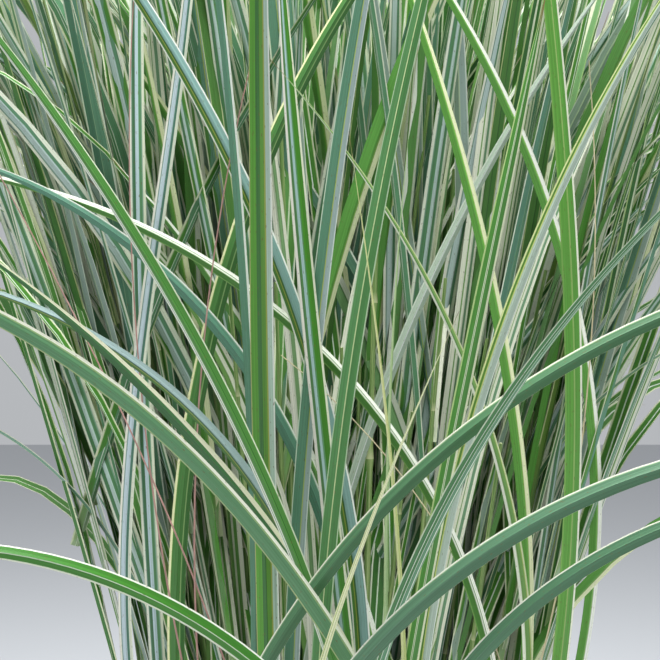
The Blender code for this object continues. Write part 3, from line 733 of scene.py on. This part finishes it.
def buildTufts():
    canes = growCanes()
    leaves = growTuftLeaves(canes)
    names = list(leafKinds)
    columns = len(names) + 1
    skins = [leafMaterial("tuft_" + name, leafKinds[name]["outer"], leafKinds[name]["inner"], i, columns)
             for i, name in enumerate(names)]
    skins.append(caneMaterial("young_cane"))
    share = leaves["share"]
    degrees = (np.degrees(canes["turn"]) - firstTuftDegrees + 180 / sectors) % 360
    sectorOf = np.floor(degrees / (360 / sectors)).astype(int)
    shown = np.arange(tuftPlan["shoots"]) < tuftPlan["canes"]
    shown &= clearOfFront(canes["centre"])
    for number in range(sectors):
        mine = leaves["keep"] & (sectorOf[leaves["shoot"]] == number)
        half = np.maximum(leaves["width"][mine, None] / 2 * (0.6 + 0.4 * np.clip(share / 0.2, 0, 1))
                          * (1 - share ** 4.5), 0.00015)
        folds = np.broadcast_to((0.16 + 0.2 * np.exp(-share * 7))[None, :], half.shape)
        rings = bladeRings(leaves["centre"][mine], leaves["heading"][mine], leaves["face"][mine], half,
                           folds, tuftPlan["thick"], tuftOuter, tuftInner)
        kind = leaves["kind"][mine]
        blades = meshFromRings(f"tuft_blades_{number + 1}", rings, uvAround(tuftOuter, tuftInner), share,
                               kind, skins, 14, kind.astype(float), columns)
        own = (sectorOf == number) & shown
        radius = np.broadcast_to(np.linspace(*tuftPlan["caneRadius"], len(canes["share"]))[None, :],
                                 canes["centre"][own].shape[:2])
        stalks = meshFromRings(f"tuft_canes_{number + 1}",
                               tubeRings(canes["centre"][own], canes["heading"][own], radius, 6), tubeUv(6),
                               canes["share"], np.full(own.sum(), len(names)), skins, 50)
        tuft = joinMeshes(f"tuft_shoots_{number + 1}", [blades, stalks])
        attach(tuft, "root")
        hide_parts(f"leaf_tuft_{number + 1}")
    print("tufts built, leaves kept", int(leaves["keep"].sum()), "of", len(leaves["keep"]))


buildTufts()


stemPlan = dict(foot=0.066, head=0.098, bow=1.6, low=0.0032, high=0.0016, steps=61, around=12, swell=0.35)


def buildStems():
    # the middle line runs out as share^bow; the radius tapers and swells at each joint as
    # 1 + swell exp(-((share - joint) / 0.008)^2)
    skin = caneMaterial("stem_skin")
    share = np.linspace(0, 1, stemPlan["steps"])
    joints = np.arange(1, caneFinish["joints"]) / caneFinish["joints"]
    swell = 1 + stemPlan["swell"] * np.exp(-((share[:, None] - joints) / 0.008) ** 2).sum(axis=1)
    radius = (stemPlan["low"] + (stemPlan["high"] - stemPlan["low"]) * share) * swell
    for number in range(1, sectors + 1):
        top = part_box(f"stem_{number}")[1][2]
        turn = math.radians(firstTuftDegrees + 360 / sectors * (number - 0.5))
        out = stemPlan["foot"] + (stemPlan["head"] - stemPlan["foot"]) * share ** stemPlan["bow"]
        height = soilTop + soilGap + (top - soilTop - soilGap) * share
        centre = np.stack([out * math.cos(turn), out * math.sin(turn), height], -1)
        heading = np.broadcast_to(np.array((0.0, 0.0, 1.0)), centre.shape)
        stem = meshFromRings(f"stem_cane_{number}",
                             tubeRings(centre, heading, radius, stemPlan["around"])[None],
                             tubeUv(stemPlan["around"]), share, np.zeros(1, int), [skin], 50)
        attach(stem, "root")
        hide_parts(f"stem_{number}")


buildStems()
print("stems built")


# a few thin dead stalks caught between the leaves, grown by the same rule as a leaf
strandPlan = dict(radius=0.0009, thinning=0.6, steps=24, around=5, roughness=0.75, straw="#d9cba6",
                  pink="#b98f86")
strands = {
    "straw": [dict(foot=(0.150, 0.020), lean=(6, -22, -52), forward=(24, 16, 8), length=0.52),
              dict(foot=(0.085, 0.095), lean=(22, 8, -6), forward=(10, 9, 6), length=0.66)],
    "pink": [dict(foot=(-0.075, 0.098), lean=(-8, 4, 22), forward=(12, 8, 5), length=0.80),
             dict(foot=(-0.055, 0.100), lean=(-16, -6, 6), forward=(10, 9, 6), length=0.74),
             dict(foot=(-0.020, 0.104), lean=(-10, -22, -30), forward=(9, 8, 8), length=0.72)],
}


def strandMaterial(name, color):
    # dead grass stalk: dull straw with darker weathered lengths
    material, tree, shader = newMaterial(name)
    shade = addNode(tree, "ShaderNodeMapRange", Value=objectNoise(tree, 60.0, 2.0), FromMin=0.3,
                    FromMax=0.7, ToMin=0.75, ToMax=1.1)
    tone = addNode(tree, "ShaderNodeRGB")
    tone.outputs[0].default_value = linear(color)
    shaded = addNode(tree, "ShaderNodeVectorMath", dict(operation="SCALE"), in0=tone.outputs[0],
                     Scale=shade.outputs[0])
    finishShader(tree, shader, shaded.outputs[0], strandPlan["roughness"])
    return material


def buildStrands():
    parts = []
    for kind, lines in strands.items():
        grown = [growLeaf(frontTurn, steps=strandPlan["steps"], **line) for line in lines]
        centre = np.stack([line[0] for line in grown])
        heading = np.stack([line[1] for line in grown])
        share = np.linspace(0, 1, strandPlan["steps"])
        radius = strandPlan["radius"] * (1 - strandPlan["thinning"] * share)
        radius = np.broadcast_to(radius, centre.shape[:2])
        rings = tubeRings(centre, heading, radius, strandPlan["around"])
        parts.append(meshFromRings(f"strands_{kind}", rings, tubeUv(strandPlan["around"]), share,
                                   np.zeros(len(lines), int),
                                   [strandMaterial(f"{kind}_stalk", strandPlan[kind])], 60))
    piece = joinMeshes("dried_strands", parts)
    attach(piece, "root")


buildStrands()


soilPlan = dict(rings=34, around=120, floorRadius=0.1185, crumbDepth=0.0012, relief=0.0035,
                sink=0.003, waves=26, chips=380, grit=120, chipLength=(0.003, 0.010), gritShare=0.45,
                soil="#2c2119", damp="#4a3829", bark="#6b4a30", barkPale="#8f6c49",
                gritDark="#8d8a82", gritPale="#cfccc2")


def crumbMaterial(name, dark, pale, scale, roughness):
    # loose crumbs: two tones mixed by noise, rough enough to show no shine
    material, tree, shader = newMaterial(name)
    crumbs = objectNoise(tree, scale, 6.0, 0.7)
    tones = addNode(tree, "ShaderNodeValToRGB", Fac=crumbs)
    setRamp(tones, [(0.35, linear(dark)), (0.7, linear(pale))])
    finishShader(tree, shader, tones.outputs[0], roughness, 1.5, crumbs, 0.8, soilPlan["crumbDepth"])
    return material


def buildSoil():
    low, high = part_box("soil")
    topRadius = high[0]
    angle = np.arange(soilPlan["around"]) * 2 * math.pi / soilPlan["around"]
    inwards = np.linspace(1, 0.012, soilPlan["rings"])
    radius = np.concatenate([[soilPlan["floorRadius"]], topRadius * inwards])
    x = radius[:, None] * np.cos(angle)
    y = radius[:, None] * np.sin(angle)
    # relief: a sum of plane waves of many sizes, faded out at the pot's wall
    size = between(90, 900, soilPlan["waves"])
    turn = between(0, 2 * math.pi, soilPlan["waves"])
    phase = between(0, 2 * math.pi, soilPlan["waves"])

    def relief(px, py):
        waves = np.sin(px[..., None] * size * np.cos(turn) + py[..., None] * size * np.sin(turn) + phase)
        return soilPlan["relief"] * (waves * (130 / size)).sum(axis=-1) / 2

    z = high[2] - soilPlan["sink"] + relief(x, y) * np.clip((1 - radius[:, None] / topRadius) * 12, 0, 1)
    z[0] = low[2]
    mound = meshFromRings("soil_mound", np.stack([x, y, z], -1)[None], tubeUv(soilPlan["around"]),
                          np.linspace(0, 1, len(radius)), np.zeros(1, int),
                          [crumbMaterial("potting_soil", soilPlan["soil"], soilPlan["damp"], 240, 0.97)], 60)
    pieces = [mound]
    # chips and grit: short closed lumps of three six-sided rings, laid flat at any turn
    for name, count, flat, tones in (("bark", soilPlan["chips"], 0.34, ("bark", "barkPale")),
                                     ("grit", soilPlan["grit"], 0.75, ("gritDark", "gritPale"))):
        away = topRadius * 0.93 * np.sqrt(random.random(count))
        turnAt = between(0, 2 * math.pi, count)
        px, py = away * np.cos(turnAt), away * np.sin(turnAt)
        pz = high[2] - soilPlan["sink"] + relief(px, py) + 0.0004
        long = between(*soilPlan["chipLength"], count) * (1.0 if name == "bark" else soilPlan["gritShare"])
        lie = between(0, 2 * math.pi, count)
        along = np.stack([np.cos(lie), np.sin(lie), random.normal(0, 0.12, count)], -1)
        along /= np.linalg.norm(along, axis=-1, keepdims=True)
        sideways = np.cross(along, np.array((0.0, 0.0, 1.0)))
        upright = np.cross(sideways, along)
        six = np.arange(6) * math.pi / 3
        bulge = np.array([0.55, 1.0, 0.6])[None, :, None] * between(0.75, 1.2, (count, 3, 6))
        stations = np.array([-0.5, 0.0, 0.5])[None, :] * long[:, None]
        across = long[:, None, None] * 0.28 * bulge
        rings = (np.stack([px, py, pz], -1)[:, None, None, :]
                 + along[:, None, None, :] * stations[..., None, None]
                 + sideways[:, None, None, :] * (across * np.cos(six))[..., None]
                 + upright[:, None, None, :] * (across * np.sin(six) * flat)[..., None])
        crumbs = crumbMaterial(name, soilPlan[tones[0]], soilPlan[tones[1]], 420, 0.9)
        pieces.append(meshFromRings(f"{name}_pieces", rings, tubeUv(6), np.array([0, 0.5, 1.0]),
                                    np.zeros(count, int), [crumbs], 35))
    soil = joinMeshes("soil_with_bark", pieces)
    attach(soil, "root")
    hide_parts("soil")


buildSoil()
print("soil built")


# unglazed red clay: turned on a wheel, so fine rings run round it; lime and salts dry white on it
clayFinish = dict(clay="#b5633f", dark="#94482c", bloom="#d8c3b0", bloomCover=0.55, roughness=0.86,
                  ringsEvery=0.0045, grainScale=520.0, reliefDepth=0.0004)


def clayMaterial():
    material, tree, shader = newMaterial("terracotta")
    tones = addNode(tree, "ShaderNodeValToRGB", Fac=objectNoise(tree, 14.0, 5.0))
    setRamp(tones, [(0.35, linear(clayFinish["dark"])), (0.62, linear(clayFinish["clay"]))])
    salts = addNode(tree, "ShaderNodeMapRange", Value=objectNoise(tree, 22.0, 8.0, 0.72), FromMin=0.50,
                    FromMax=0.80, ToMin=0.0, ToMax=clayFinish["bloomCover"])
    bloomed = mixColors(tree, salts.outputs[0], tones.outputs[0], clayFinish["bloom"])
    spot = addNode(tree, "ShaderNodeTexCoord").outputs["Object"]
    rings = addNode(tree, "ShaderNodeTexWave", dict(wave_type="BANDS", bands_direction="Z"), Vector=spot,
                    Scale=0.314 / clayFinish["ringsEvery"], Distortion=1.2, Detail=2.0)
    grain = objectNoise(tree, clayFinish["grainScale"], 3.0)
    relief = addNode(tree, "ShaderNodeMath", dict(operation="MULTIPLY_ADD"), in0=rings.outputs["Fac"],
                     in1=0.5, in2=grain)
    finishShader(tree, shader, bloomed, clayFinish["roughness"], 1.5, relief.outputs[0], 0.5,
                 clayFinish["reliefDepth"])
    return material


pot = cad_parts["pot"]
pot.data.materials.clear()
pot.data.materials.append(clayMaterial())
print("pot finished")


def buildStage():
    bpy.ops.mesh.primitive_plane_add(size=14, location=(0, 0, -0.0005))
    floor = bpy.context.object
    floor.name = "floor"
    material, tree, shader = newMaterial("pale_floor")
    shader.inputs["Base Color"].default_value = linear("#c6c8cb")
    shader.inputs["Roughness"].default_value = 0.9
    floor.data.materials.append(material)
    world = bpy.data.worlds.new("soft_sky")
    world.use_nodes = True
    sky = world.node_tree.nodes["Background"]
    sky.inputs["Color"].default_value = (0.93, 0.96, 1.0, 1)
    sky.inputs["Strength"].default_value = 0.50
    bpy.context.scene.world = world


def addSoftLight(name, place, aim, size, power, color):
    data = bpy.data.lights.new(name, "AREA")
    data.shape = "DISK"
    data.size = size
    data.energy = power
    data.color = color
    light = bpy.data.objects.new(name, data)
    light.location = place
    # a lamp shines down its own Z: tipped by acos of the fall, then turned about the upright
    direction = np.array(aim) - np.array(place)
    length = np.linalg.norm(direction)
    light.rotation_euler = (math.acos(-direction[2] / length), 0, math.atan2(-direction[0], direction[1]))
    light.visible_camera = False
    bpy.context.scene.collection.objects.link(light)


lights = {
    "overhead": dict(place=(0.1, -0.35, 2.7), aim=(0, -0.1, 0.8), size=1.8, power=132,
                     color=(0.97, 0.99, 1.0)),
    "front_left": dict(place=(-1.5, -2.1, 2.9), aim=(0, 0, 0.9), size=2.0, power=12,
                       color=(1.0, 0.98, 0.93)),
}
buildStage()
for name, light in lights.items():
    addSoftLight(name, **light)

camera = bpy.data.objects.new("camera", bpy.data.cameras.new("camera"))
camera.data.lens = 70
camera.location = lensPlace
camera.rotation_euler = (math.radians(90), 0, 0)     # level, looking along +Y
bpy.context.scene.collection.objects.link(camera)
bpy.context.scene.camera = camera
bpy.context.scene.view_settings.view_transform = "Standard"
